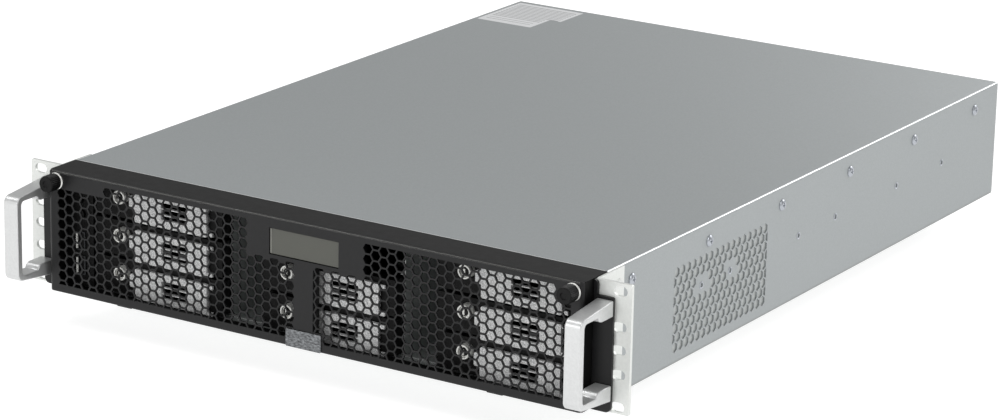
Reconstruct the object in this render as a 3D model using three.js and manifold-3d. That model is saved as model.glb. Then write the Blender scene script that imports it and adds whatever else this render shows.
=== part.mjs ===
// Two-unit rack enclosure for network storage: a folded steel chassis with rack ears and pull
// handles, a drop-down perforated door with a display, eight hot-swap drive trays, a fan wall,
// a motherboard and two hot-swap power modules.
// Millimetres, +Z up, +X to the right seen from the front, -Y towards the front. While the parts
// are laid out, y = 0 is the front face of the rack ears and z = 0 is the underside.
import * as THREE from 'three';
import { mergeVertices } from 'three/addons/utils/BufferGeometryUtils.js';
import Module from 'manifold-3d';

const wasm = await Module();
wasm.setup();

// ---- driving dimensions ------------------------------------------------------------------
const SHEET = 1.2;              // chassis steel
const GAP = 0.3;                // air between touching pieces
const BODY = { half: 214.3, height: 87.85, depth: 590 };
const COVER = { front: 15, bottom: 1.5, bend: 2 };
const EAR = { inner: 214.6, outer: 241.3, bottom: 0.3, top: 87.4, plate: 2.5, flangeDepth: 33 };
const EAR_SLOTS = [4.8, 26.4, 42.8, 58.2, 82];   // heights of the rack screw slots
const SLOT = { x: 233, length: 10, height: 6.6 };
const BRACKET = { outer: 229.3, thick: 2, shoulder: 217.5, shoulderTop: 77.5 };
const HANDLE = { x: 223.6, width: 12, grip: 5, front: -42, mid: 42.2, rear: 33.7, nose: 29.7 };
const FRAME = { front: -11.9, inner: 209, bottom: 0.65, floor: 3.4, ceiling: 86.2, lip: 14.7 };
const DOOR = { front: -15.2, back: -12.2, skin: 1.3, bottom: 0.65, top: 87.85, edge: 2.6 };
const HINGE = { y: -4.5, z: 2.2, pin: 0.8, knuckle: 1.55, arm: 12, x: 150 };
const WINDOW = { left: -27.8, right: 28, bottom: 62, top: 80.3 };
const STEM = { half: 7.6, back: -7.6, bottom: 11 };
const SCREW = { x: 207.2, z: 81, shank: 1.9, knob: 5.3, front: -27 };
const TRAY = { width: 107, height: 24.8, length: 158, front: 0.3, bezel: 8.5 };
const TRAY_ROWS = { upper: 71.2, middle: 43.9, lower: 16.6 };
const TRAY_COLUMNS = { left: -131.25, centre: 9, right: 149.25 };
const LEVER = { left: -17.4, right: 44.6, half: 11.35, drop: 0.8, front: -3, vents: [22.4, 44.5] };
const LEVER_VENTS = [[-6.4, -3.4], [-2.6, 1.1], [1.9, 5.8]];   // lower and upper edge of each slot
const LOCK = { x: -30.3, z: 3.4, radius: 5, front: -5 };
const CAGE = { front: 10, back: 164, wall: 1, ledge: 2.8 };
const USB = { x: -196.5, z: [19, 36.5], wide: 6.6, tall: 13.6 };
const BUTTON = { x: -196.5, front: -3.2, power: 56, powerRadius: 3.2, reset: 66, resetRadius: 1.7 };
const FAN = { y: 206, deep: 25, z: 43.8, radius: 37, xs: [-135, -45, 45] };
const PSU = { x: 158.5, width: 101, height: 38.6, front: 400, block: 20, ring: 24, rows: [23.6, 63.6] };
const BOARD = { left: -205, right: 96, front: 300, back: 580, z: 9 };
const IO = { left: -190, right: -44, top: 44, deep: 18 };

// ---- materials -----------------------------------------------------------------------------
const finish = (color, roughness, metalness) => (
  new THREE.MeshStandardMaterial({ color, roughness, metalness }));
const steel = () => finish(0xa6aaac, 0.42, 0.85);
const brightSteel = () => finish(0xd6d8d8, 0.35, 0.85);
const castAluminium = () => finish(0xdcdddc, 0.4, 0.8);
const blackSteel = () => finish(0x1d1d1f, 0.5, 0.3);
const blackPlastic = () => finish(0x202022, 0.55, 0);
const silverPlastic = () => finish(0xc4c6c8, 0.42, 0.3);
const chrome = () => finish(0xe4e4e6, 0.12, 1);
const displayGlass = () => finish(0x5f6158, 0.12, 0);
const circuitGreen = () => finish(0x1f5a36, 0.5, 0);

// ---- solids --------------------------------------------------------------------------------
function solid(geometry) {
  geometry.deleteAttribute('normal');
  geometry.deleteAttribute('uv');
  const merged = mergeVertices(geometry, 1e-4);
  return new wasm.Manifold(new wasm.Mesh({
    numProp: 3,
    vertProperties: new Float32Array(merged.attributes.position.array),
    triVerts: new Uint32Array(merged.index.array),
  }));
}

function box([x0, x1], [y0, y1], [z0, z1]) {
  const geometry = new THREE.BoxGeometry(x1 - x0, y1 - y0, z1 - z0);
  return solid(geometry.translate((x0 + x1) / 2, (y0 + y1) / 2, (z0 + z1) / 2));
}

// A shape drawn in (x, z), from y0 back to y1.
function slabAlongY(shape, y0, y1, curveSegments = 4) {
  const geometry = new THREE.ExtrudeGeometry(shape, { depth: y1 - y0, bevelEnabled: false, curveSegments });
  return solid(geometry.rotateX(Math.PI / 2).translate(0, y1, 0));
}

// A shape drawn in (x, y), from z0 up to z1.
function slabAlongZ(shape, z0, z1, curveSegments = 4) {
  const geometry = new THREE.ExtrudeGeometry(shape, { depth: z1 - z0, bevelEnabled: false, curveSegments });
  return solid(geometry.translate(0, 0, z0));
}

// A shape drawn in (y, z), from x0 across to x1.
function slabAlongX(shape, x0, x1, curveSegments = 4) {
  const geometry = new THREE.ExtrudeGeometry(shape, { depth: x1 - x0, bevelEnabled: false, curveSegments });
  const turn = new THREE.Matrix4().makeBasis(
    new THREE.Vector3(0, 1, 0), new THREE.Vector3(0, 0, 1), new THREE.Vector3(1, 0, 0));
  return solid(geometry.applyMatrix4(turn).translate(x0, 0, 0));
}

function rodAlongY(x, z, radius, y0, y1, sides = 20) {
  const geometry = new THREE.CylinderGeometry(radius, radius, y1 - y0, sides);
  return solid(geometry.translate(x, (y0 + y1) / 2, z));
}

function rodAlongX(y, z, radius, x0, x1, sides = 16) {
  const geometry = new THREE.CylinderGeometry(radius, radius, x1 - x0, sides);
  return solid(geometry.rotateZ(Math.PI / 2).translate((x0 + x1) / 2, y, z));
}

// Profile points are [radius, y]; the turned piece lies along Y through (x, z).
function turnedAlongY(profile, x, z, sides = 24) {
  const points = profile.map(([r, y]) => new THREE.Vector2(r, y));
  return solid(new THREE.LatheGeometry(points, sides).translate(x, 0, z));
}

function roundedRectangle(x0, x1, z0, z1, r) {
  const shape = new THREE.Shape();
  shape.moveTo(x0 + r, z0);
  shape.lineTo(x1 - r, z0).absarc(x1 - r, z0 + r, r, -Math.PI / 2, 0);
  shape.lineTo(x1, z1 - r).absarc(x1 - r, z1 - r, r, 0, Math.PI / 2);
  shape.lineTo(x0 + r, z1).absarc(x0 + r, z1 - r, r, Math.PI / 2, Math.PI);
  shape.lineTo(x0, z0 + r).absarc(x0 + r, z0 + r, r, Math.PI, Math.PI * 1.5);
  return shape;
}

function outline(points) {
  return new THREE.Shape(points.map(([u, v]) => new THREE.Vector2(u, v)));
}

const join = (first, ...rest) => rest.reduce((whole, piece) => whole.add(piece), first);
const cut = (first, ...rest) => rest.reduce((whole, piece) => whole.subtract(piece), first);
const mirrored = (piece) => piece.mirror([1, 0, 0]);

function mesh(name, piece, material) {
  const { vertProperties, triVerts } = piece.getMesh();
  const geometry = new THREE.BufferGeometry();
  geometry.setAttribute('position', new THREE.BufferAttribute(new Float32Array(vertProperties), 3));
  geometry.setIndex(new THREE.BufferAttribute(new Uint32Array(triVerts), 1));
  geometry.computeVertexNormals();
  const result = new THREE.Mesh(geometry, material);
  result.name = name;
  return result;
}

const enclosure = new THREE.Group();
const add = (name, piece, material) => enclosure.add(mesh(name, piece, material));

// ---- folded chassis ------------------------------------------------------------------------
// A trough whose walls stand inside the cover's sides, on a floor that reaches out under them.
function chassisBase() {
  const wall = BODY.half - SHEET - GAP;
  const top = BODY.height - SHEET - GAP;
  const half = [
    [BODY.half, 0], [BODY.half, SHEET], [wall, SHEET],
    [wall, top], [wall - SHEET, top], [wall - SHEET, SHEET],
  ];
  const other = half.map(([x, z]) => [-x, z]).reverse();
  return slabAlongY(outline([...half, ...other]), 0, BODY.depth);
}

// One sheet over the top and down both sides.
function topCover() {
  const { half, height, depth } = BODY;
  const { front, bottom, bend } = COVER;
  const sheet = slabAlongY(roundedRectangle(-half, half, bottom - bend, height, bend), front, depth);
  const inside = box([-half + SHEET, half - SHEET], [0, depth + 1], [bottom - 5, height - SHEET]);
  const below = box([-half - 1, half + 1], [0, depth + 1], [bottom - 5, bottom]);
  return cut(sheet, inside, below);
}

function rearPanel() {
  const half = BODY.half - SHEET - SHEET - GAP * 2;
  const through = [BODY.depth - 5, BODY.depth + 1];
  const plate = box([-half, half], [BODY.depth - 1.8, BODY.depth - 0.6],
    [SHEET + GAP, BODY.height - SHEET - GAP]);
  const powerBay = box([PSU.x - PSU.width / 2 - 1, PSU.x + PSU.width / 2 + 1], through,
    [PSU.rows[0] - PSU.height / 2 - 0.6, PSU.rows[1] + PSU.height / 2 + 0.6]);
  const connectors = box([IO.left - 1, IO.right + 1], through, [BOARD.z, IO.top + 1]);
  return cut(plate, powerBay, connectors);
}

// ---- front frame and door ------------------------------------------------------------------
const hingeSpan = (x) => [x - HINGE.arm / 2, x + HINGE.arm / 2];

function frontFrame() {
  const ring = cut(
    box([-BODY.half, BODY.half], [FRAME.front, -GAP], [FRAME.bottom, DOOR.top]),
    box([-FRAME.inner, FRAME.inner], [FRAME.front - 1, 1], [FRAME.floor, FRAME.ceiling]));
  const lip = box([-BODY.half, BODY.half], [-1, FRAME.lip], [BODY.height - SHEET, BODY.height]);
  const reach = 6;               // the bosses behind the two thumbscrews
  const boss = box([SCREW.x - reach / 2 - 0.4, FRAME.inner + 1], [FRAME.front, FRAME.front + 4],
    [SCREW.z - reach, FRAME.ceiling + 1]);
  const holes = [SCREW.x, -SCREW.x].map(
    (x) => rodAlongY(x, SCREW.z, SCREW.shank + 0.6, FRAME.front - 1, FRAME.front + 5));
  const notches = [HINGE.x, -HINGE.x].flatMap((x) => {
    const [low, high] = hingeSpan(x);
    return [
      box([low - 0.5, high + 0.5], [FRAME.front - 1, HINGE.y + HINGE.knuckle + 0.6], [0, FRAME.floor + 1]),
      rodAlongX(HINGE.y, HINGE.z, HINGE.pin + GAP, low - 5, high + 5),
    ];
  });
  return cut(join(ring, lip, boss, mirrored(boss)), ...holes, ...notches);
}

// A shallow pressed tray with rounded front edges, a display window and two hinge arms.
function doorPanel() {
  const { front, back, skin, bottom, top, edge } = DOOR;
  const plan = new THREE.Shape();
  plan.moveTo(BODY.half, back).lineTo(-BODY.half, back).lineTo(-BODY.half, front + edge);
  plan.absarc(-BODY.half + edge, front + edge, edge, Math.PI, Math.PI * 1.5);
  plan.lineTo(BODY.half - edge, front);
  plan.absarc(BODY.half - edge, front + edge, edge, Math.PI * 1.5, Math.PI * 2);
  const shell = cut(
    slabAlongZ(plan, bottom, top),
    box([-BODY.half + skin, BODY.half - skin], [front + skin, back + 1], [bottom + skin, top - skin]),
    box([WINDOW.left, WINDOW.right], [front - 1, back], [WINDOW.bottom, WINDOW.top]),
    ...[SCREW.x, -SCREW.x].map((x) => rodAlongY(x, SCREW.z, SCREW.shank + GAP, front - 1, back)));
  const arms = [HINGE.x, -HINGE.x].map((x) => cut(
    join(
      box(hingeSpan(x), [front + skin / 2, HINGE.y], [bottom, bottom + skin]),
      rodAlongX(HINGE.y, HINGE.z, HINGE.knuckle, ...hingeSpan(x))),
    rodAlongX(HINGE.y, HINGE.z, HINGE.pin + GAP, x - HINGE.arm, x + HINGE.arm)));
  return join(shell, ...arms);
}

const hingePin = (x) => (
  rodAlongX(HINGE.y, HINGE.z, HINGE.pin, x - HINGE.arm / 2 - 4, x + HINGE.arm / 2 + 4));

// The T-shaped cover behind the door skin: the display's box, and its cable's channel down to the hinge.
function displayHousing() {
  const face = DOOR.front + DOOR.skin + GAP;
  const bar = box([-45.5, 45.5], [face, STEM.back], [60, 84.2]);
  const stem = box([-STEM.half, STEM.half], [face, STEM.back], [STEM.bottom, 61]);
  const glassPocket = box([WINDOW.left - 0.6, WINDOW.right + 0.6], [face - 1, face + 1.4],
    [WINDOW.bottom - 0.6, WINDOW.top + 0.6]);
  return cut(join(bar, stem), glassPocket);
}

const displayGlassPane = () => box([WINDOW.left + GAP, WINDOW.right - GAP],
  [DOOR.front + 0.5, DOOR.front + 2.6], [WINDOW.bottom + GAP, WINDOW.top - GAP]);

const badgePlate = () => (
  slabAlongY(roundedRectangle(-15, 13.3, 1.2, 13.4, 0.8), DOOR.front - 0.9, DOOR.front - GAP));

function thumbscrew() {
  const { knob, front, shank } = SCREW;
  const seat = DOOR.front - GAP;
  return turnedAlongY([
    [0, front + 0.8], [2, front + 0.8], [2.4, front], [knob - 0.6, front], [knob, front + 0.6],
    [knob, -18], [knob - 1.6, -17.4], [knob - 1.6, seat - 1.1], [knob + 0.7, seat - 1.1],
    [knob + 0.7, seat], [shank, seat], [shank, FRAME.front + 3], [0, FRAME.front + 3.6],
  ], 0, 0);
}

// ---- rack ears, brackets and handles -------------------------------------------------------
function ear() {
  const { inner, outer, bottom, top, plate, flangeDepth } = EAR;
  const angle = join(
    slabAlongY(roundedRectangle(inner, outer, bottom, top, 1), 0, plate),
    box([inner, inner + 1.5], [plate - 0.5, flangeDepth], [bottom + 0.7, top]));
  const slots = EAR_SLOTS.map((z) => slabAlongY(
    roundedRectangle(SLOT.x - SLOT.length / 2, SLOT.x + SLOT.length / 2, z - SLOT.height / 2,
      z + SLOT.height / 2, SLOT.height / 2 - 0.01), -1, plate + 1, 3));
  return cut(angle, ...slots);
}

// A flat plate between the ear and the handle, wide behind the handle and narrow above it.
function handleBracket() {
  const { outer, thick, shoulder, shoulderTop } = BRACKET;
  const inner = EAR.inner;
  const shape = new THREE.Shape();
  shape.moveTo(inner, 0.5).lineTo(outer - 4, 0.5).absarc(outer - 4, 4.5, 4, -Math.PI / 2, 0);
  shape.lineTo(outer, shoulderTop - 1.5).absarc(outer - 1.5, shoulderTop - 1.5, 1.5, 0, Math.PI / 2);
  shape.lineTo(shoulder, shoulderTop).lineTo(shoulder, 84.4);
  shape.absarc(inner, 84.4, shoulder - inner, 0, Math.PI / 2);
  return slabAlongY(shape, -GAP - thick, -GAP);
}

// A cast bow: a straight grip with thin arms that thicken into lobed feet.
function handle() {
  const { x, width, grip, front, mid, rear, nose } = HANDLE;
  const back = -GAP * 2 - BRACKET.thick;
  const corner = 5;
  const footInner = 22.9;
  const armInner = 26.3;
  const shape = new THREE.Shape();
  shape.moveTo(back, mid - rear);
  shape.lineTo(back, mid - footInner).lineTo(-13.5, mid - footInner);
  shape.quadraticCurveTo(-19, mid - footInner - 0.4, -21, mid - armInner);
  shape.lineTo(front + grip + 3, mid - armInner + 0.4);
  shape.quadraticCurveTo(front + grip, mid - armInner + 0.4, front + grip, mid - armInner + 3.4);
  shape.lineTo(front + grip, mid + armInner - 3.4);
  shape.quadraticCurveTo(front + grip, mid + armInner - 0.4, front + grip + 3, mid + armInner - 0.4);
  shape.lineTo(-21, mid + armInner);
  shape.quadraticCurveTo(-19, mid + footInner + 0.4, -13.5, mid + footInner);
  shape.lineTo(back, mid + footInner).lineTo(back, mid + rear);
  shape.lineTo(front + corner, mid + nose + 0.6);
  shape.quadraticCurveTo(front, mid + nose, front, mid + nose - corner);
  shape.lineTo(front, mid - nose + corner);
  shape.quadraticCurveTo(front, mid - nose, front + corner, mid - nose - 0.6);
  shape.lineTo(back, mid - rear);
  return slabAlongX(shape, x - width / 2, x + width / 2, 4);
}

// ---- drive trays ---------------------------------------------------------------------------
// Each tray is drawn about the middle of its front; it carries one 3.5-inch drive between its rails.
function trayBody() {
  const half = TRAY.width / 2;
  const low = -TRAY.height / 2;
  const bezelBack = TRAY.front + TRAY.bezel;
  const bezel = box([-half, half], [TRAY.front, bezelBack], [low, -low]);
  const pocket = box([LEVER.left + 4, LEVER.right - 6], [TRAY.front - 1, TRAY.front + 5], [-9, 7.4]);
  const vent = box([LEVER.left + 20, LEVER.right - 17], [TRAY.front, bezelBack + 1], [-6.5, 5]);
  const lockBore = rodAlongY(LOCK.x, LOCK.z, LOCK.radius + 0.6, TRAY.front - 1, TRAY.front + 5, 24);
  const floor = cut(
    box([-half + 0.8, half - 0.8], [bezelBack - 1, TRAY.length], [low, low + 1]),
    box([-half + 20, half - 20], [bezelBack + 20, TRAY.length - 25], [low - 1, low + 2]));
  const rails = [-1, 1].map((side) => {
    const outer = side * (half - 0.8);
    return box([Math.min(outer, outer - side * 1.4), Math.max(outer, outer - side * 1.4)],
      [bezelBack - 1, TRAY.length], [low, low + 20]);
  });
  return join(cut(bezel, pocket, vent, lockBore), floor, ...rails);
}

// The release lever: a slotted plate hinged at its right end, with a finger tab at its left.
function trayLever() {
  const { left, right, half, drop, front, vents } = LEVER;
  const plate = box([left, right], [front, -0.3], [-half - drop, half - drop]);
  const tab = box([left - 5.8, left + 1], [front + 0.3, -0.6], [-3.2, 6]);
  const slots = LEVER_VENTS.map((span) => box([left + vents[0], left + vents[1]], [front - 1, 1], span));
  const lugs = [-1, 1].map((side) => box([right - 1, right + 4.4], [front + 0.6, -0.6],
    [side * (half - 1.4) - 1.3 - drop, side * (half - 1.4) + 1.3 - drop]));
  return cut(join(plate, tab, ...lugs), ...slots);
}

function trayLock() {
  const { radius, front } = LOCK;
  const barrel = turnedAlongY([
    [0, front + 1.2], [2.6, front + 1.2], [2.6, front + 0.5], [3.4, front], [radius - 0.5, front],
    [radius, front + 0.5], [radius, TRAY.front + 4], [0, TRAY.front + 4],
  ], 0, 0);
  return cut(barrel, box([-0.45, 0.45], [front, front + 3], [-2, 2]));
}

// Six walls with a ledge below each edge of every tray, standing on one floor.
function driveCage() {
  const { front, back, wall } = CAGE;
  const bottom = SHEET + GAP;
  const reach = TRAY.width / 2 + 0.6;
  const columns = Object.values(TRAY_COLUMNS);
  const walls = columns.flatMap((x) => [-1, 1].map((side) => {
    const middle = x + side * (reach + wall / 2);
    return box([middle - wall / 2, middle + wall / 2], [front, back], [bottom + 0.5, FRAME.ceiling - 0.4]);
  }));
  const ledges = columns.flatMap((x) => Object.values(TRAY_ROWS).flatMap((z) => [-1, 1].map((side) => {
    const tip = x + side * (reach - CAGE.ledge);
    const root = x + side * (reach + wall / 2);
    const top = z - TRAY.height / 2 - GAP;
    return box([Math.min(tip, root), Math.max(tip, root)], [front, back], [top - 0.8, top]);
  })));
  const overhang = reach + wall + 1;
  const floor = box([TRAY_COLUMNS.left - overhang, TRAY_COLUMNS.right + overhang], [front, back],
    [bottom, bottom + 1]);
  return join(floor, ...walls, ...ledges);
}

// A circuit board across the back of the cage, with air slots between the columns of trays.
function backplane() {
  const front = CAGE.back + GAP;
  const { left, centre, right } = TRAY_COLUMNS;
  const gaps = [(left + centre) / 2, (centre + right) / 2];
  return cut(
    box([-205, 206], [front, front + 1.8], [6, 82]),
    ...gaps.map((x) => box([x - 12, x + 12], [front - 1, front + 3], [14, 74])));
}

// ---- control strip beside the left-hand trays ----------------------------------------------
function controlPanel() {
  const plate = box([-208.6, -186.4], [-1.4, 1], [4.4, 85.2]);
  const ports = USB.z.map((z) => box([USB.x - USB.wide / 2 - GAP, USB.x + USB.wide / 2 + GAP], [-3, 3],
    [z - USB.tall / 2 - GAP, z + USB.tall / 2 + GAP]));
  const buttons = [[BUTTON.power, BUTTON.powerRadius], [BUTTON.reset, BUTTON.resetRadius]].map(
    ([z, radius]) => rodAlongY(BUTTON.x, z, radius + 0.4, -3, 3));
  return cut(plate, ...ports, ...buttons);
}

function usbPort(z) {
  const wallThickness = 0.8;
  const centred = (middle, size) => [middle - size / 2, middle + size / 2];
  const shell = box(centred(USB.x, USB.wide), [-2.4, 14], centred(z, USB.tall));
  const hollow = box(centred(USB.x, USB.wide - wallThickness * 2), [-4, 12.5],
    centred(z, USB.tall - wallThickness * 2));
  return cut(shell, hollow);
}

const pushButton = (radius, front) => turnedAlongY([
  [0, front], [radius - 0.3, front], [radius, front + 0.3], [radius, 6], [0, 6],
], 0, 0, 20);

// ---- fans ----------------------------------------------------------------------------------
function fanWall() {
  const wall = box([-206, 96], [FAN.y, FAN.y + FAN.deep], [SHEET + GAP, BODY.height - SHEET - 0.8]);
  return cut(wall, ...FAN.xs.map(
    (x) => rodAlongY(x, FAN.z, FAN.radius + 1.2, FAN.y - 1, FAN.y + FAN.deep + 1, 28)));
}

function fanRotor() {
  const hub = rodAlongY(0, 0, 16, 3, FAN.deep - 3, 18);
  const blades = Array.from({ length: 7 }, (_, i) => {
    const blade = new THREE.BoxGeometry(1.6, 15, FAN.radius - 15);
    blade.translate(0, 0, (FAN.radius + 15) / 2 - 0.8);
    const pitch = new THREE.Matrix4().makeRotationZ(0.75);
    const around = new THREE.Matrix4().makeRotationY(i * Math.PI * 2 / 7);
    return solid(blade.applyMatrix4(pitch).applyMatrix4(around).translate(0, FAN.deep / 2, 0));
  });
  return join(hub, ...blades);
}

// ---- electronics ---------------------------------------------------------------------------
// The board with the six standoffs that it rests on.
function motherboard() {
  const { left, right, front, back, z } = BOARD;
  const posts = [left + 8, (left + right) / 2, right - 8].flatMap((x) => [front + 8, back - 30].map(
    (y) => slabAlongZ(new THREE.Shape().absarc(x, y, 3, 0, Math.PI * 2), SHEET + GAP, z + 0.5)));
  return join(box([left, right], [front, back], [z, z + 1.6]), ...posts);
}

// A ribbed block: a base with upright fins that run front to back.
function heatSink() {
  const fins = Array.from({ length: 9 }, (_, i) => box([i * 8, i * 8 + 2], [0, 70], [3, 40]));
  return join(box([0, 66], [0, 70], [0, 4]), ...fins);
}

// Two network sockets and a tier of other ports, moulded as one block at the rear edge of the board.
function ioBlock() {
  const back = BODY.depth;
  const block = box([IO.left, IO.right], [back - IO.deep, back], [BOARD.z + 1.6 + GAP, IO.top]);
  const network = [0, 1].map((i) => {
    const left = IO.left + 8 + i * 24;
    return box([left, left + 14], [back - 13, back + 1], [15, 27]);
  });
  return cut(block, ...network);
}

function psuCage() {
  const half = PSU.width / 2 + 1.2;
  const [low, high] = [SHEET + GAP, BODY.height - SHEET - GAP * 2];
  return cut(
    box([PSU.x - half - 1, PSU.x + half + 1], [PSU.front - 4, BODY.depth - 2.2], [low, high]),
    box([PSU.x - half, PSU.x + half], [PSU.front - 2, BODY.depth + 1], [low + 1, high - 1]));
}

// A can open towards the front, with a solid rear block that has a finger ring and a mains inlet.
function psuModule() {
  const halfWidth = PSU.width / 2;
  const halfHeight = PSU.height / 2;
  const back = BODY.depth;
  const can = box([-halfWidth, halfWidth], [PSU.front, back], [-halfHeight, halfHeight]);
  const hollow = box([-halfWidth + SHEET, halfWidth - SHEET], [PSU.front - 1, back - PSU.block],
    [-halfHeight + SHEET, halfHeight - SHEET]);
  const inlet = box([14, 38], [back - 16, back + 1], [-8, 8]);
  const bow = cut(
    box([-32, 4], [back - 1, back + PSU.ring], [-4, 4]),
    box([-27, -1], [back, back + PSU.ring - 5], [-5, 5]));
  return join(cut(can, hollow, inlet), bow);
}

// ---- assembly ------------------------------------------------------------------------------
add('chassis_base', chassisBase(), steel());
add('top_cover', topCover(), steel());
add('rear_panel', rearPanel(), steel());
add('front_frame', frontFrame(), blackSteel());
add('door_panel', doorPanel(), blackSteel());
add('display_housing', displayHousing(), blackPlastic());
add('display_window', displayGlassPane(), displayGlass());
add('badge_plate', badgePlate(), silverPlastic());

for (const [side, sign] of [['left', -1], ['right', 1]]) {
  const place = sign < 0 ? mirrored : (piece) => piece;
  add(`rack_ear_${side}`, place(ear()), brightSteel());
  add(`handle_bracket_${side}`, place(handleBracket()), blackSteel());
  add(`handle_${side}`, place(handle()), castAluminium());
  add(`hinge_pin_${side}`, hingePin(sign * HINGE.x), brightSteel());
  const screw = mesh(`thumbscrew_${side}`, thumbscrew(), blackSteel());
  screw.position.set(sign * SCREW.x, 0, SCREW.z);
  enclosure.add(screw);
}

for (const [column, x] of Object.entries(TRAY_COLUMNS)) {
  for (const [row, z] of Object.entries(TRAY_ROWS)) {
    if (column === 'centre' && row === 'upper') continue;    // the display takes this bay
    const tray = new THREE.Group();
    tray.position.set(x, 0, z);
    tray.add(mesh(`tray_${column}_${row}`, trayBody(), blackPlastic()));
    tray.add(mesh(`tray_lever_${column}_${row}`, trayLever(), silverPlastic()));
    const lock = mesh(`tray_lock_${column}_${row}`, trayLock(), chrome());
    lock.position.set(LOCK.x, 0, LOCK.z);
    tray.add(lock);
    enclosure.add(tray);
  }
}

add('drive_cage', driveCage(), steel());
add('backplane', backplane(), circuitGreen());
add('control_panel', controlPanel(), blackPlastic());
USB.z.forEach((z, i) => add(`usb_port_${i ? 'upper' : 'lower'}`, usbPort(z), brightSteel()));
for (const use of ['power', 'reset']) {
  const button = mesh(`${use}_button`, pushButton(BUTTON[`${use}Radius`], BUTTON.front), blackPlastic());
  button.position.set(BUTTON.x, 0, BUTTON[use]);
  enclosure.add(button);
}

add('fan_wall', fanWall(), blackPlastic());
FAN.xs.forEach((x, i) => {
  const rotor = mesh(`fan_rotor_${i + 1}`, fanRotor(), blackPlastic());
  rotor.position.set(x, FAN.y, FAN.z);
  enclosure.add(rotor);
});

add('motherboard', motherboard(), circuitGreen());
const cooler = mesh('cpu_heatsink', heatSink(), castAluminium());
cooler.position.set(-80, 400, BOARD.z + 1.6 + GAP);
enclosure.add(cooler);
add('io_block', ioBlock(), brightSteel());
add('psu_cage', psuCage(), steel());
PSU.rows.forEach((z, i) => {
  const module = mesh(`psu_module_${i ? 'upper' : 'lower'}`, psuModule(), steel());
  module.position.set(PSU.x, 0, z);
  enclosure.add(module);
});

// The origin moves to the middle of the underside of the whole object.
enclosure.position.y = -(HANDLE.front + BODY.depth + PSU.ring) / 2;

export default enclosure;
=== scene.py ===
import math

import bmesh
import bpy
from mathutils import Matrix, Vector
from mathutils.geometry import delaunay_2d_cdt


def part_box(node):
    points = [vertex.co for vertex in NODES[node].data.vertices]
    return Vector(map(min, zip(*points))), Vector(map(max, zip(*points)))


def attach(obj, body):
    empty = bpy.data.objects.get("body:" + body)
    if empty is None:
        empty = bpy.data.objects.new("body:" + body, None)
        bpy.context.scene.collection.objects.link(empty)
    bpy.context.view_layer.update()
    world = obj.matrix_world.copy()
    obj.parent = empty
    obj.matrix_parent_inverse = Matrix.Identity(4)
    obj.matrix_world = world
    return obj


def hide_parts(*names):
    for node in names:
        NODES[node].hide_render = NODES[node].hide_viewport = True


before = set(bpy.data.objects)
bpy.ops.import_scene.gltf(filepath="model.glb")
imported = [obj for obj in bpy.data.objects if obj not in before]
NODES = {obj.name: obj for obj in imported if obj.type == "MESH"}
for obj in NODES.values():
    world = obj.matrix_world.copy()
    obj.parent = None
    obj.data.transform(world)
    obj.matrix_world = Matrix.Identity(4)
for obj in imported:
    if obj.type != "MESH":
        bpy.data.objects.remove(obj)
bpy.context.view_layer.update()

# Lengths below are millimetres, with y = 0 at the front face of the rack ears and z = 0 at the underside.
MM = 0.001
EAR_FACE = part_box("rack_ear_right")[0].y
SIDES = (("left", -1), ("right", 1))

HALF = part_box("top_cover")[1].x / MM            # half the width of the body
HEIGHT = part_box("top_cover")[1].z / MM
DEPTH = (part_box("top_cover")[1].y - EAR_FACE) / MM
SHEET = 1.2


def at(x, y, z):
    """A place in the scene, in metres, from layout millimetres."""
    return Vector((x * MM, y * MM + EAR_FACE, z * MM))


# ---- materials ---------------------------------------------------------------------------------
def rgb(value):
    """Linear colour from one grey level or three sRGB levels, 0 to 255."""
    levels = (value, value, value) if isinstance(value, (int, float)) else value
    linear = [(c / 255 / 12.92) if c <= 10 else (((c / 255) + 0.055) / 1.055) ** 2.4 for c in levels]
    return (*linear, 1.0)


def material(name, colour, rough, metallic=0.0, scale=600.0, stretch=(1, 1, 1), mottle=0.06,
             rough_spread=0.05, bump=0.15, bump_scale=1800.0, coat=0.0, specular=0.5):
    """A surface with noise in its colour and roughness, and a fine bump."""
    made = bpy.data.materials.new(name)
    made.use_nodes = True
    nodes, links = made.node_tree.nodes, made.node_tree.links
    shader = nodes["Principled BSDF"]
    shader.inputs["Metallic"].default_value = metallic
    shader.inputs["Coat Weight"].default_value = coat
    shader.inputs["Specular IOR Level"].default_value = specular
    where = nodes.new("ShaderNodeTexCoord")
    mapping = nodes.new("ShaderNodeMapping")
    mapping.inputs["Scale"].default_value = stretch
    links.new(where.outputs["Object"], mapping.inputs["Vector"])

    def noise(size, detail):
        """The factor of a noise texture in the object's own coordinates."""
        node = nodes.new("ShaderNodeTexNoise")
        node.inputs["Scale"].default_value = size
        node.inputs["Detail"].default_value = detail
        links.new(mapping.outputs["Vector"], node.inputs["Vector"])
        return node.outputs["Fac"]

    fleck = noise(scale, 4.0)
    ramp = nodes.new("ShaderNodeValToRGB")
    base = rgb(colour)
    for stop, place, gain in ((0, 0.3, 1 - mottle), (1, 0.7, 1 + mottle)):
        ramp.color_ramp.elements[stop].position = place
        ramp.color_ramp.elements[stop].color = (*[min(1.0, c * gain) for c in base[:3]], 1.0)
    links.new(fleck, ramp.inputs["Fac"])
    links.new(ramp.outputs["Color"], shader.inputs["Base Color"])
    spread = nodes.new("ShaderNodeMapRange")
    spread.inputs["To Min"].default_value = max(0.03, rough - rough_spread)
    spread.inputs["To Max"].default_value = min(1.0, rough + rough_spread)
    links.new(noise(scale * 0.37, 3.0), spread.inputs["Value"])
    links.new(spread.outputs["Result"], shader.inputs["Roughness"])
    if bump:
        relief = nodes.new("ShaderNodeBump")
        relief.inputs["Strength"].default_value = bump
        relief.inputs["Distance"].default_value = 0.0002
        links.new(noise(bump_scale, 2.0), relief.inputs["Height"])
        links.new(relief.outputs["Normal"], shader.inputs["Normal"])
    return made


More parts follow.
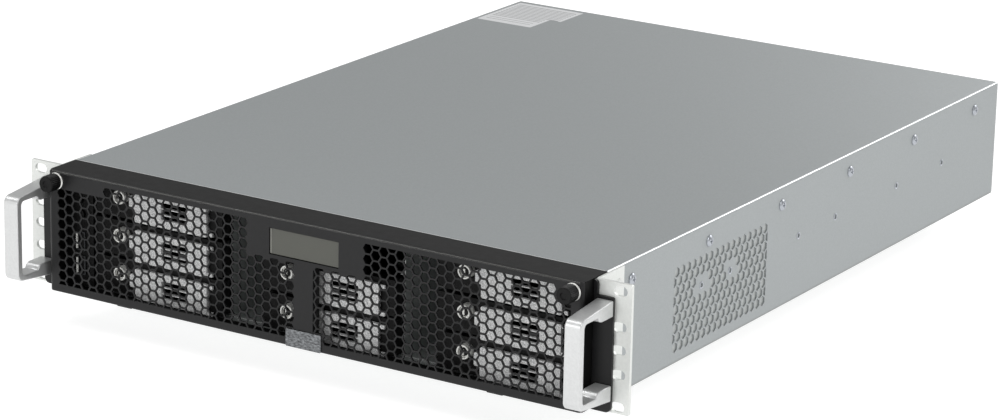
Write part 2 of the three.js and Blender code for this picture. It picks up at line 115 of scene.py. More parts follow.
COVER = material("cover_steel", (166, 170, 171), 0.56, 0.6, scale=1100, mottle=0.05, bump=0.08)
WALL = material("inner_steel", (176, 179, 178), 0.5, 0.6, scale=900, mottle=0.06, bump=0.10)
BRIGHT = material("bright_steel", (220, 222, 219), 0.42, 0.4, scale=500, mottle=0.03, bump=0.06)
CAST = material("cast_aluminium", (208, 209, 209), 0.38, 0.7, scale=700, mottle=0.04, bump=0.12,
                bump_scale=1400)
BLACK = material("black_steel", (20, 20, 21), 0.42, scale=400, mottle=0.12, bump=0.18, bump_scale=1500,
                 specular=0.3)
STRIP = material("frame_black", (10, 10, 10), 0.48, scale=400, mottle=0.2, bump=0.2, bump_scale=1500,
                 specular=0.18)
DARK = material("black_moulding", (8, 8, 8), 0.5, scale=500, mottle=0.2, bump=0.25, bump_scale=1600,
                specular=0.2)
SILVER = material("silver_moulding", (220, 222, 222), 0.45, scale=1250, mottle=0.5, bump=0.3,
                  bump_scale=1500)
CHROME = material("lock_chrome", (240, 240, 236), 0.26, 0.35, scale=300, mottle=0.05, bump=0.0)
# A near-white for the strips on the cover's front edge and folds: painted highlight.
HIGHLIGHT_STRIP = material("painted_highlight_edge", (238, 240, 240), 0.3, 0.4, scale=300, mottle=0.05, bump=0.0)
# A lighter black for the strip along the door's upper fold: painted highlight.
CREASE_HIGHLIGHT = material("painted_highlight_black", (92, 92, 88), 0.35, scale=300, mottle=0.15, bump=0.0)
ZINC = material("zinc_screw", (176, 180, 186), 0.3, 0.9, scale=500, mottle=0.05, bump=0.08)
LCD = material("display_pane", (62, 63, 55), 0.22, scale=60, mottle=0.03, rough_spread=0.03, bump=0.0,
               coat=0.4)
BADGE = material("badge_foil", (112, 114, 116), 0.28, 0.8, scale=420, stretch=(1, 1, 2.2), mottle=0.7,
                 bump=1.0, bump_scale=520)
# A lighter grey for the screen frame's left edge: the edge is real, its lightness a painted highlight.
SCREEN_EDGE_HIGHLIGHT = material("screen_edge_highlight", (112, 112, 106), 0.4, scale=400, mottle=0.05)
# Nickel darkened for the USB sockets' frames: painted shade and dark reflection on the metal.
SHADED_NICKEL = material("nickel_painted_shade", (72, 73, 75), 0.35, 0.7, scale=400, mottle=0.08)
LAMP = material("lamp_lens", (96, 150, 88), 0.2, scale=300, mottle=0.03, bump=0.0, coat=0.6)
INK = material("label_ink", (150, 151, 152), 0.6, scale=900, mottle=0.1, bump=0.0)
PAPER = material("label_paper", (214, 215, 216), 0.6, scale=900, mottle=0.015, bump=0.05)
BOARD = material("circuit_board", (30, 92, 52), 0.45, scale=350, mottle=0.2, bump=0.3, bump_scale=500)
GOLD = material("contact_gold", (212, 170, 92), 0.3, 1.0, scale=500, mottle=0.05, bump=0.0)
SOCKET = material("socket_black", (12, 12, 12), 0.5, scale=500, mottle=0.1, bump=0.1, specular=0.25)


# ---- meshes ------------------------------------------------------------------------------------
PLACE = {"x": lambda u, v, t: (t, u, v), "y": lambda u, v, t: (u, t, v), "z": lambda u, v, t: (u, v, t)}


def prism(outline, a, b, axis):
    """A closed slab of an outline between two depths along an axis."""
    place, n = PLACE[axis], len(outline)
    points = [place(u, v, t) for t in (a, b) for u, v in outline]
    sides = [[i, (i + 1) % n, n + (i + 1) % n, n + i] for i in range(n)]
    return points, [list(range(n)), list(range(n, 2 * n))] + sides


def rectangle(u0, u1, v0, v1):
    """A rectangle's corners in order."""
    return [(u0, v0), (u1, v0), (u1, v1), (u0, v1)]


def block(x, y, z):
    """A plain bar between pairs of x, y and z."""
    return prism(rectangle(*x, *y), *z, "z")


def arc(u, v, r, start, end, steps):
    """Points on a circle, between two angles in degrees."""
    turn = [math.radians(start + (end - start) * i / steps) for i in range(steps + 1)]
    return [(u + r * math.cos(t), v + r * math.sin(t)) for t in turn]


def rounded(u0, u1, v0, v1, r, steps=4):
    """A rectangle with rounded corners."""
    corners = ((u1 - r, v0 + r, -90), (u1 - r, v1 - r, 0), (u0 + r, v1 - r, 90), (u0 + r, v0 + r, 180))
    return [p for u, v, start in corners for p in arc(u, v, r, start, start + 90, steps)]


def circle(u, v, r, steps=16):
    """Points evenly around a circle."""
    return arc(u, v, r, 0, 360, steps)[:-1]


def hexagon(u, v, across, start):
    """A hexagon of that width across its flats, with a corner at the start angle."""
    return arc(u, v, across / math.sqrt(3), start, start + 360, 6)[:-1]


def skin(loops, caps=True, ring=False):
    """A tube through loops of equal length, closed at its ends or round on itself."""
    n = len(loops[0])
    points = [p for loop in loops for p in loop]
    last = len(loops) if ring else len(loops) - 1
    faces = []
    for k in range(last):
        a, b = k * n, ((k + 1) % len(loops)) * n
        faces += [[a + i, a + (i + 1) % n, b + (i + 1) % n, b + i] for i in range(n)]
    if caps and not ring:
        faces += [list(range(n)), list(range(len(points) - n, len(points)))]
    return points, faces


def turned(profile, x, z, sides=32, ridge=None):
    """A profile of (radius, y) turned about the line along Y through (x, z). With a ridge (radius,
    depth), every other point from that radius outwards is drawn in by the depth: a knurl."""
    loops = []
    for r, y in profile:
        loop = []
        for i in range(sides):
            angle = 2 * math.pi * i / sides
            radius = r - (ridge[1] if ridge and i % 2 and ridge[0] <= r else 0)
            loop.append((x + radius * math.cos(angle), y, z + radius * math.sin(angle)))
        loops.append(loop)
    return skin(loops)


def perforated(outline, holes, a, b, axis):
    """A plate with holes cut through it, from depth a to depth b."""
    loops = [outline, *holes]
    flat = [Vector(p) for loop in loops for p in loop]
    faces, start = [], 0
    for loop in loops:
        faces.append(list(range(start, start + len(loop))))
        start += len(loop)
    points, _, made, _, _, origin = delaunay_2d_cdt(flat, [], faces, 1, 1e-5)
    kept = [f for f, source in zip(made, origin) if list(source) == [0]]
    place, n = PLACE[axis], len(points)
    directed = {(f[i], f[(i + 1) % 3]) for f in kept for i in range(3)}
    rim = [(p, q) for p, q in directed if (q, p) not in directed]
    walls = [[p, q, n + q, n + p] for p, q in sorted(rim)]
    back = [[n + i for i in reversed(f)] for f in kept]
    return [place(p[0], p[1], t) for t in (a, b) for p in points], [list(f) for f in kept] + back + walls


def clipped(loop, u0, u1, v0, v1):
    """The part of a convex loop that lies inside a box."""
    for axis, limit, sign in ((0, u0, 1), (0, u1, -1), (1, v0, 1), (1, v1, -1)):
        kept = []
        for a, b in zip(loop, loop[1:] + loop[:1]):
            da, db = sign * (a[axis] - limit), sign * (b[axis] - limit)
            if da >= 0:
                kept.append(a)
            if (da > 0 > db) or (da < 0 < db):
                t = da / (da - db)
                kept.append((a[0] + t * (b[0] - a[0]), a[1] + t * (b[1] - a[1])))
        loop = kept
    return loop


def area(loop):
    """The area inside a loop."""
    return abs(sum(a[0] * b[1] - a[1] * b[0] for a, b in zip(loop, loop[1:] + loop[:1]))) / 2


SMALLEST = 0.2                    # a cut hole is kept above this share of its width squared


def honeycomb(box, columns, pitch, across, first, start, limits=(), blocked=()):
    """Hexagonal holes along interlocking columns, cut off at the box's edges, clear of the blocked boxes.
    Start 0 has corners along u and columns along v, and start 90 the other way round. First is a hole's
    place in the even columns. A limit (from, to, low, high) shortens the columns between two places."""
    u0, u1, v0, v1 = box
    reach = across / math.sqrt(3)
    along = (v0, v1) if start == 0 else (u0, u1)
    found = []
    for i, place in enumerate(columns):
        low, high = along
        for a, b, floor_at, ceiling_at in limits:
            if a < place < b:
                low, high = max(low, floor_at), min(high, ceiling_at)
        edges = (u0, u1, low, high) if start == 0 else (low, high, v0, v1)
        shift = first + (pitch / 2 if i % 2 else 0)
        for j in range(math.floor((low - shift) / pitch), math.ceil((high - shift) / pitch) + 1):
            u, v = (place, shift + j * pitch) if start == 0 else (shift + j * pitch, place)
            if any(b[0] - reach < u < b[1] + reach and b[2] - reach < v < b[3] + reach for b in blocked):
                continue
            hole = clipped(hexagon(u, v, across, start), *edges)
            if len(hole) > 2 and area(hole) > SMALLEST * across * across:
                found.append(hole)
    return found


def tube(outer, inner, a, b, axis="y"):
    """A wall between two outlines with the same number of points, open at both ends."""
    place = PLACE[axis]
    return skin([[place(u, v, t) for u, v in loop]
                 for loop, t in ((outer, a), (outer, b), (inner, b), (inner, a))], ring=True)


def piece(name, shells, look, body, replaces=(), bevel=0.0, segments=2, sharp=35):
    """One visible mesh made of closed shells in layout millimetres."""
    mesh = bpy.data.meshes.new(name)
    points, faces = [], []
    for shell_points, shell_faces in shells:
        faces += [[len(points) + i for i in face] for face in shell_faces]
        points += [at(*p) for p in shell_points]
    mesh.from_pydata(points, [], faces)
    work = bmesh.new()
    work.from_mesh(mesh)
    bmesh.ops.recalc_face_normals(work, faces=work.faces)
    work.to_mesh(mesh)
    work.free()
    mesh.shade_smooth()
    mesh.set_sharp_from_angle(angle=math.radians(sharp))
    made = bpy.data.objects.new(name, mesh)
    bpy.context.scene.collection.objects.link(made)
    mesh.materials.append(look)
    if bevel:
        soften(made, bevel, segments, sharp)
    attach(made, body)
    if replaces:
        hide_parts(*replaces)
    return made


def soften(made, width, segments=2, sharp=35):
    """Rounded edges, wherever two faces meet at more than the sharp angle."""
    edge = made.modifiers.new("edges", "BEVEL")
    edge.width = width * MM
    edge.segments = segments
    edge.limit_method = "ANGLE"
    edge.angle_limit = math.radians(sharp)
    edge.harden_normals = False


def keep(node, look, bevel=0.0, segments=2):
    """A CAD node shown as it is, with a material and softened edges."""
    shown = NODES[node]
    shown.data.materials.clear()
    shown.data.materials.append(look)
    if bevel:
        weld = shown.modifiers.new("weld", "WELD")
        weld.merge_threshold = MM * 0.001
        soften(shown, bevel, segments)


# ---- chassis -----------------------------------------------------------------------------------
LIP = 1.5                         # lower edge of the cover's sides
SIDE = 0.85                       # thickness of the cover's sides
COVER_FRONT = 15                  # where the cover starts, behind the black frame
COVER_TOP = HEIGHT - 0.05
FOLD = 1.8                        # outer radius of the cover's folds
VENT = (101, 228.5, 7.5, 67.5)    # vent field in (y, z)
VENT_HOLE = {"pitch": 7.5, "across": 6.3, "y": 104.75, "z": [11.5 + 6.5 * i for i in range(9)]}
RAIL_HOLES = (138, 177, 274, 329, 424, 498)
RAIL_Z = 46
RAIL_BORE = 1.7
BARE = 4.5                        # half of the bare patch around an insert in the vent field
SCREW = {"places": [46 + 101 * i for i in range(6)], "z": 74.5, "radius": 4}
EAR_RIVETS = {"out": 216.1, "places": ((27, 79), (27, 12))}


def chassis_shell():
    """A floor with rounded lower edges, and a wall inside each side of the cover."""
    bend, wall, top = 1.2, HALF - SIDE - 0.1, HEIGHT - SHEET - 0.3
    under = [(HALF, SHEET)] + arc(HALF - bend, bend, bend, 0, -90, 5)
    outline = under + [(-x, z) for x, z in reversed(under)]
    shells = [prism(outline, 0, DEPTH, "y")]
    for _, side in SIDES:
        shells.append(prism([(side * wall, SHEET), (side * wall, top), (side * (wall - SHEET), top),
                             (side * (wall - SHEET), SHEET)], 0, DEPTH, "y"))
    return shells


piece("chassis_shell", chassis_shell(), WALL, "chassis", ["chassis_base"], sharp=25)


def cover_shell():
    """One sheet over the top, with rounded bends and front edge, and a perforated side at each end."""
    front = COVER_FRONT
    loops = []
    for y, drop in ((front, 0.9), (front + 0.25, 0.35), (front + 0.9, 0), (DEPTH, 0)):
        outside = arc(HALF - FOLD, COVER_TOP - drop - FOLD, FOLD, 0, 90, 8)
        inside = arc(HALF - FOLD, COVER_TOP - drop - FOLD, FOLD - SHEET, 0, 90, 8)
        outside += [(-x, z) for x, z in reversed(outside)]
        inside += [(-x, z) for x, z in reversed(inside)]
        loops.append([(x, y, z) for x, z in outside + list(reversed(inside))])
    shells = [skin(loops)]
    blocked = [(y - BARE, y + BARE, RAIL_Z - BARE, RAIL_Z + BARE) for y in RAIL_HOLES[:2]]
    holes = honeycomb(VENT, VENT_HOLE["z"], VENT_HOLE["pitch"], VENT_HOLE["across"], VENT_HOLE["y"], 90,
                      blocked=blocked)
    holes += [circle(y, RAIL_Z, RAIL_BORE, 12) for y in RAIL_HOLES]
    outline = rectangle(front, DEPTH, LIP, COVER_TOP - FOLD)
    for _, side in SIDES:
        shells.append(perforated(outline, holes, side * (HALF - SIDE), side * HALF, "x"))
    return shells


piece("cover_shell", cover_shell(), COVER, "chassis", ["top_cover"], sharp=30)


def cover_edges():
    """Painted highlights: pale strips along the front edge of the sheet and along its two folds, for the
    light that they catch.
    """
    shells = [block((-HALF + 2, HALF - 2), (COVER_FRONT - 0.05, COVER_FRONT + 0.5),
                    (COVER_TOP - 1, COVER_TOP + 0.02))]
    for _, side in SIDES:
        middle = (side * (HALF - FOLD), COVER_TOP - FOLD)
        outside = arc(*middle, FOLD + 0.03, 90 - side * 30, 90 - side * 54, 3)
        inside = arc(*middle, FOLD - 0.5, 90 - side * 54, 90 - side * 30, 3)
        shells.append(prism(outside + inside, COVER_FRONT + 0.9, DEPTH, "y"))
    return shells


piece("cover_edges", cover_edges(), HIGHLIGHT_STRIP, "chassis")


def wall_ring(x, y, z, radius, out=0.0, steps=16):
    """A ring of points that faces along X, that far out from x."""
    return [(x + out, v, w) for v, w in circle(y, z, radius, steps)]


def cross_head(x, y, z, radius, side):
    """A pan-head screw on a wall that faces along X, with a cross recess."""
    steps = 24
    head = ((1.0, 0), (1.0, 0.5), (0.86, 1.15), (0.6, 1.6), (0.52, 1.7))
    loops = [wall_ring(x, y, z, radius * share, side * height, steps) for share, height in head]
    for depth, share in ((1.7, 0.483), (0.7, 0.345)):
        loop = []
        for i in range(steps):
            t = 2 * math.pi * i / steps
            arm = radius * share * (1.0 if i % 6 in (0, 1, 5) else 0.42)
            loop.append((x + side * depth, y + arm * math.cos(t), z + arm * math.sin(t)))
        loops.append(loop)
    return skin(loops)


for side_name, side in SIDES:
    heads = [cross_head(side * HALF, y, SCREW["z"], SCREW["radius"], side) for y in SCREW["places"]]
    piece(f"cover_screws_{side_name}", heads, ZINC, "chassis")
    rim = ((2.7, -0.4), (2.7, 0.15), (2.4, 0.3), (1.9, 0.3), (1.7, 0.1), (1.7, -1.0))
    inserts = [skin([wall_ring(side * HALF, y, RAIL_Z, r, side * out) for r, out in rim], ring=True)
               for y in RAIL_HOLES]
    piece(f"rail_inserts_{side_name}", inserts, ZINC, "chassis")
    dome = ((2.0, -0.3), (2.0, 0.05), (1.5, 0.5), (0.5, 0.65))
    rivets = [skin([wall_ring(side * EAR_RIVETS["out"], y, z, r, side * out) for r, out in dome])
              for y, z in EAR_RIVETS["places"]]
    piece(f"ear_rivets_{side_name}", rivets, BRIGHT, "chassis")

# A stepped paper label with pale bars and no text, at the rear left of the cover.
label = [(-210, 520), (-160, 520), (-160, 550), (-150, 550), (-150, 585), (-210, 585)]
step_y = label[2][1]
piece("blank_label", [prism(label, HEIGHT - 0.07, HEIGHT - 0.02, "z")], PAPER, "chassis")
rules = [((-206, -165), (y, y + 0.9)) for y in (527, 532)]
rules += [((-207, -163 if y < step_y else -153), (y, y + 1.3)) for y in range(538, 582, 4)]
piece("label_rules", [block(x, y, (HEIGHT - 0.03, HEIGHT)) for x, y in rules], INK, "chassis")

# ---- ears and handles --------------------------------------------------------------------------
GRIP = {"left": 226, "right": 223.6, "wide": 12, "thick": 5, "front": -42, "mid": 42.2, "rear": 33.7,
        "nose": 29.7}
FOOT = {"y": -15.2, "z": -26.7, "radius": 3.8}    # the rounded lobe of each foot
GRIP_Z = -26.6                    # inner edge of the lower arm, from the handle's middle


def handle_outline():
    """The bow in (y, z): straight outer arms that taper forwards, lobed feet and a rounded grip."""
    front, mid, back = GRIP["front"], GRIP["mid"], -2.6
    upper = [(back, GRIP["rear"])]
    upper += arc(front + 5.5, GRIP["nose"] - 5, 5.5, 96, 180, 8)
    lower = [(y, -z) for y, z in reversed(upper)]
    inner = [(back, FOOT["z"] + FOOT["radius"])] + arc(FOOT["y"], FOOT["z"], FOOT["radius"], 90, 172, 7)
    inner = [(y * 1.35 + 5.3 if y < FOOT["y"] else y, z) for y, z in inner] + [(-21.2, GRIP_Z)]
    inner += arc(front + GRIP["thick"] + 3, GRIP_Z + 3, 3, -90, -180, 5)
    inner += [(y, -z) for y, z in reversed(inner)]
    return [(y, mid + z) for y, z in upper + lower + inner]


for side_name, side in SIDES:
    keep(f"rack_ear_{side_name}", BRIGHT, 0.35)
    keep(f"handle_bracket_{side_name}", BLACK, 0.25)
    low, high = (side * GRIP[side_name] + step * GRIP["wide"] / 2 for step in (-1, 1))
    piece(f"handle_bow_{side_name}", [prism(handle_outline(), low, high, "x")], CAST, "chassis",
          [f"handle_{side_name}"], bevel=1.1, segments=3, sharp=40)

# ---- door --------------------------------------------------------------------------------------
DOOR_FACE = (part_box("door_panel")[0].y - EAR_FACE) / MM
DOOR_BACK = -12.2
DOOR_LOW, DOOR_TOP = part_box("door_panel")[0].z / MM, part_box("door_panel")[1].z / MM
RIM = (2.8, 1.4)                  # how far the front edge's bend reaches in x and in z
SKIN = 1.2
CORNER = 1.2
HINGE = {"x": 150, "y": -4.5, "z": 2.2, "radius": 1.55, "half": 6}
DOOR_HOLE = {"pitch": 7.4, "across": 6.3, "left_z": 43.3, "right_z": 46.9, "low": 6.9, "high": 83.3}
# Places of the columns of holes to the left and right of the middle, and where they stop short: under
# the plain corners at both ends, under the display, and above the badge.
LEFT = [-163.3 - 6.62 * i for i in range(6, 0, -1)] + [-163.3 + 6.345 * i for i in range(25)]
RIGHT = [6.3 + 6.37 * i for i in range(32)]
LIMITS = ((-210, -167, 0, 75.8), (-46, 46, 0, 59.5), (-16, 15, 14.2, 90), (196, 210, 0, 72))
KNOB = {"x": 207.2, "z": 81, "radius": 5.9}
PANE = (-27.8, 28, 62, 80.3)


def door_shell():
    """A shallow tray with a bent front edge, a perforated skin and a knuckle around each hinge pin."""
    mid_z, half_z = (DOOR_LOW + DOOR_TOP) / 2, (DOOR_TOP - DOOR_LOW) / 2

    def loop(y, inset_x, inset_z, radius):
        """The door's outline at one depth, drawn in by the insets."""
        wide, high = HALF - inset_x, half_z - inset_z
        return [(x, y, z) for x, z in rounded(-wide, wide, mid_z - high, mid_z + high, radius, 3)]

    steps = 6
    loops = [loop(DOOR_BACK, 0, 0, CORNER)]
    for i in range(steps + 1):
        t = math.pi / 2 * i / steps
        inset = 1 - math.cos(t)
        loops.append(loop(DOOR_FACE + 2.6 * (1 - math.sin(t)), RIM[0] * inset, RIM[1] * inset, CORNER))
    loops.append(loop(DOOR_FACE + SKIN, *RIM, 0.2))
    loops.append(loop(DOOR_BACK, *[max(SKIN, r * 0.5) for r in RIM], 0.2))
    edge = skin(loops, ring=True)
    pitch, across, low, high = (DOOR_HOLE[k] for k in ("pitch", "across", "low", "high"))
    holes = honeycomb((-207.4, -7.6, low, high), LEFT, pitch, across, DOOR_HOLE["left_z"], 0, LIMITS)
    holes += honeycomb((7.6, 206, low, high), RIGHT, pitch, across, DOOR_HOLE["right_z"], 0, LIMITS)
    holes += [rectangle(*PANE)] + [circle(s * KNOB["x"], KNOB["z"], 2.4, 16) for _, s in SIDES]
    outline = rectangle(-HALF + RIM[0], HALF - RIM[0], DOOR_LOW + RIM[1], DOOR_TOP - RIM[1])
    shells = [edge, perforated(outline, holes, DOOR_FACE, DOOR_FACE + SKIN, "y")]
    for x in (-HINGE["x"], HINGE["x"]):
        span = (x - HINGE["half"], x + HINGE["half"])
        shells.append(block(span, (DOOR_FACE + 0.6, HINGE["y"]), (DOOR_LOW, DOOR_LOW + 1.3)))
        shells.append(prism(circle(HINGE["y"], HINGE["z"], HINGE["radius"], 16), *span, "x"))
    return shells


piece("door_shell", door_shell(), BLACK, "door", ["door_panel"], sharp=30)
# A painted highlight: a lighter strip along the door's upper fold, for the light caught by the bend.
fold_highlight = [(-15.0, 87.0), (-14.2, 87.62), (-13.9, 87.3), (-14.6, 86.8)]
piece("door_fold_highlight", [prism(fold_highlight, -HALF + 2.6, HALF - 2.6, "x")], CREASE_HIGHLIGHT, "door")
keep("front_frame", STRIP, 0.4)
keep("display_housing", DARK, 0.3)
badge = rounded(-13.8, 14.6, 1.0, 13.2, 0.8)
piece("badge_foil", [prism(badge, -16.1, DOOR_FACE - 0.02, "y")], BADGE, "door",
      ["badge_plate"], bevel=0.2)
for side_name, _ in SIDES:
    keep(f"hinge_pin_{side_name}", ZINC)


def display():
    """The shells of the pane, and of the edge of the screen's own frame at its left, drawn lighter as a
    painted highlight on its rounded edge.
    """
    x0, x1, z0, z1 = PANE
    face = DOOR_FACE + 0.9
    pane = prism(rounded(x0 + 0.3, x1 - 0.3, z0 + 0.3, z1 - 0.3, 0.6), face, face + 1.8, "y")
    strip = prism(rectangle(x0 + 0.4, x0 + 1.6, z0 + 0.6, z1 - 0.6), face - 0.15, face, "y")
    return [pane], [strip]


pane_shells, strip_shells = display()
piece("display_pane", pane_shells, LCD, "door", ["display_window"], bevel=0.2)
piece("display_edge", strip_shells, SCREEN_EDGE_HIGHLIGHT, "door")

for side_name, side in SIDES:
    x, z, r = side * KNOB["x"], KNOB["z"], KNOB["radius"]
    grip = [(0.3, -26.3), (2.2, -26.3), (2.6, -27), (r - 0.7, -27), (r, -26.2), (r, -17.3),
            (r - 0.5, -16.9), (0.3, -16.9)]
    piece(f"knurled_knob_{side_name}", [turned(grip, x, z, 60, ridge=(r - 0.1, 0.38))], DARK,
          f"thumbscrew_{side_name}", [f"thumbscrew_{side_name}"], sharp=30)
    collar = [(2.5, -16.6), (5.4, -16.6), (5.95, -16.2), (5.95, -15.5), (2.5, -15.5)]
    shank = [(0.2, -16.6), (1.9, -16.6), (1.9, -9.2), (1.2, -8.3), (0.2, -8.3)]
    piece(f"thumbscrew_shank_{side_name}", [turned(collar, x, z, 32), turned(shank, x, z, 20)], CHROME,
          f"thumbscrew_{side_name}")

# ---- drive trays -------------------------------------------------------------------------------
COLUMNS = {"left": -131.25, "centre": 9, "right": 149.25}
ROWS = {"upper": 71.2, "middle": 43.9, "lower": 16.6}
LEVER = (-18.4, 42.5, -12.15, 10.55)
LEVER_FLOOR = 3.8                 # no lever reaches lower
DROP = {"upper": -0.3, "middle": -1.3, "lower": -1.7}    # how far levers are moved from the CAD
LOCK = (-30.3, 3.4)               # from the middle of a tray
LEVER_VENTS = ((-6.4, -3.4), (-2.6, 1.1), (1.9, 5.8))


def lever(cx, cz):
    """A slotted plate with a tab towards the lock and two short arms at its right."""
    x0, x1, z0, z1 = LEVER
    low = max(cz + z0, LEVER_FLOOR)
    plate = rounded(cx + x0, cx + x1, low, cz + z1, 1.2, 3)
    slots = [rectangle(cx + 4.2, cx + 26.3, cz + a, cz + b) for a, b in LEVER_VENTS]
    tab = rounded(cx + x0 - 4.8, cx + x0 + 1, cz - 3.2, cz + 6, 1.2, 3)
    shells = [perforated(plate, slots, -3, -0.3, "y"), prism(tab, -2.7, -0.6, "y")]
    for side in (-1, 1):
        z = cz - 0.8 + side * 9.4
        shells.append(block((cx + x1 - 1, cx + x1 + 4.4), (-2.4, -0.6), (z - 1.3, z + 1.3)))
    return shells


def lock(x, z):
    """The shells of the rim, with the groove inside it, and of a bright bar on the key slot: a painted
    highlight.
    """
    rim = [(5, 4), (5, -4.6), (4.8, -5), (3.9, -5), (3.7, -4.5), (3.7, -3), (0.3, -3), (0.3, 4)]
    return [turned(rim, x, z)], [block((x - 0.7, x + 0.7), (-4.9, -3.9), (z - 1.9, z + 1.9))]


def plug(x, z):
    """The plug that a key turns, inside the groove, in black: a painted dark reflection on its metal
    face.
    """
    return [turned([(0.2, -4.2), (2.6, -4.2), (2.9, -3.8), (2.9, -2.9), (0.2, -2.9)], x, z, 24)]


for column, x in COLUMNS.items():
    for row, z in ROWS.items():
        if (column, row) == ("centre", "upper"):
            continue
        name = f"{column}_{row}"
        keep(f"tray_{name}", DARK, 0.3)
        piece(f"lever_plate_{name}", lever(x, z + DROP[row]), SILVER, f"tray_{name}",
              [f"tray_lever_{name}"], bevel=0.3)
        lock_x, lock_z = x + LOCK[0], z + LOCK[1]
        rim, slot_highlight = lock(lock_x, lock_z)
        piece(f"key_lock_{name}", rim, CHROME, f"tray_lock_{name}", [f"tray_lock_{name}"])
        # The plug's black stands in for the dark reflection on its metal: painted reflection.
        piece(f"key_plug_dark_reflection_{name}", plug(lock_x, lock_z), SOCKET, f"tray_lock_{name}")
        # The bright bar on the key slot is a painted highlight.
        piece(f"key_slot_highlight_{name}", slot_highlight, CHROME, f"tray_lock_{name}")

AS_IN_CAD = (("drive_cage", WALL, 0), ("backplane", BOARD, 0), ("control_panel", DARK, 0.3),
             ("power_button", DARK, 0.2), ("reset_button", DARK, 0.15), ("fan_wall", DARK, 0.5),
             ("fan_rotor_1", DARK, 0.2), ("fan_rotor_2", DARK, 0.2), ("fan_rotor_3", DARK, 0.2),
             ("motherboard", BOARD, 0), ("cpu_heatsink", CAST, 0.1), ("psu_cage", WALL, 0))
for node, look, bevel in AS_IN_CAD:
    keep(node, look, bevel)

USB = {"x": (-199.8, -193.2), "half": 6.8, "rows": (("lower", 19), ("upper", 36.5))}
for place, z in USB["rows"]:
    x0, x1, z0, z1 = *USB["x"], z - USB["half"], z + USB["half"]
    can = tube(rectangle(x0, x1, z0, z1), rectangle(x0 + 0.8, x1 - 0.8, z0 + 0.8, z1 - 0.8), -2.4, 14)
    piece(f"usb_can_{place}", [can], SHADED_NICKEL, "chassis", [f"usb_port_{place}"])
    # A bright strip on the left edge of each socket's frame: a real edge, drawn bright as a painted
    # highlight of its glint.
    glint_strip = block((x0 - 0.9, x0 + 0.7), (-2.9, -2.45), (z0 + 1.2, z0 + 12.2))
    piece(f"usb_edge_glint_{place}", [glint_strip], CHROME, "chassis")
    piece(f"usb_tongue_{place}", [block((x0 + 2.6, x0 + 4.4), (-0.5, 13.8), (z0 + 1.5, z1 - 1.5)),
                                  block((x0 + 0.8, x1 - 0.8), (12.5, 14), (z0 + 0.8, z1 - 0.8))], SOCKET,
          "chassis")

# ---- rear --------------------------------------------------------------------------------------
SHEET_Y = (588.2, 589.4)          # faces of the rear sheet
COVER_Y = (586.9, 588.1)          # faces of the card covers behind it
CARDS = [-30 + 20.3 * i for i in range(6)]       # left edges of the openings for expansion cards
IO = (-190, -44, 10.9, 44)
PSU_X, PSU_HALF, PSU_HIGH = 158.5, 50.5, 19.3    # middle, half width and half height of a power module
BLADES = 7
PORTS = [(-182, -168, 15, 27), (-158, -144, 15, 27)]
PORTS += [(x, x + 14, z, z + 6.6) for x in (-134, -112) for z in (15, 25)]
SUBS = [((-88, -57), (16, 28)), ((-180, -149), (31.5, 41.5))]    # trapezoid connectors, with their screws
JACK_X, JACK_Z = -50.5, (16.5, 26.5, 36.5)


def rear_sheet():
    """The vented rear sheet with its openings, and the slit covers behind it."""
    holes = honeycomb((-201, -38, 52, 80), [55.5 + 6.5 * i for i in range(4)], 7.5, 6.2, -196.5, 90)
    holes += [rectangle(x, x + 13, 12, 78) for x in CARDS]
    holes += [rectangle(-191, -43, 9, 45), rectangle(107, 210, 3.7, 83.5)]
    sheet = perforated(rectangle(-211.3, 211.3, 1.5, 86.35), holes, *SHEET_Y, "y")
    covers = []
    for x in CARDS:
        slits = [rectangle(x + u, x + u + 2, z, z + 14) for u in (2.5, 8.5) for z in (16, 36, 56)]
        covers.append(perforated(rectangle(x - 2, x + 15, 9, 81), slits, *COVER_Y, "y"))
    return [sheet], covers


def d_shape(x, z, inset):
    """The outline of a trapezoid connector, wider at its top."""
    (x0, x1), (z0, z1) = x, z
    return [(x0 + 2 + inset, z0 + inset), (x1 - 2 - inset, z0 + inset), (x1 - 0.7 - inset, z0 + 2),
            (x1 - inset, z1 - 2), (x1 - 1.4 - inset, z1 - inset), (x0 + 1.4 + inset, z1 - inset),
            (x0 + inset, z1 - 2), (x0 + 0.7 + inset, z0 + 2)]


sheet_shells, cover_shells = rear_sheet()
piece("rear_sheet", sheet_shells, WALL, "chassis", ["rear_panel"])
piece("card_covers", cover_shells, COVER, "chassis")

shield_holes = [rectangle(*port) for port in PORTS]
shield_holes += [d_shape((x[0] + 4, x[1] - 4), z, 0) for x, z in SUBS]
shield_holes += [circle(JACK_X, z, 3.2, 20) for z in JACK_Z]
piece("io_shield", [perforated(rectangle(*IO), shield_holes, 588.6, 589.4, "y")], ZINC, "chassis",
      ["io_block"])
metal, inside, gold = [], [block(IO[:2], (572, 576), IO[2:])], []
for x0, x1, z0, z1 in PORTS:
    metal.append(tube(rectangle(x0 + 0.1, x1 - 0.1, z0 + 0.1, z1 - 0.1),
                      rectangle(x0 + 0.8, x1 - 0.8, z0 + 0.8, z1 - 0.8), 576, 590))
    if z1 - z0 > 10:
        inside.append(block((x0 + 4, x1 - 4), (577, 589.2), (z0 + 0.8, z0 + 2.6)))
        gold += [block((x0 + 3 + i, x0 + 3.5 + i), (578, 587), (z1 - 2, z1 - 1.6)) for i in range(8)]
    else:
        inside.append(block((x0 + 1.6, x1 - 1.6), (577, 589), (z0 + 3, z0 + 4.8)))
        gold += [block((x0 + 3 + 2.3 * i, x0 + 4.1 + 2.3 * i), (578, 588.6), (z0 + 2.8, z0 + 3))
                 for i in range(4)]
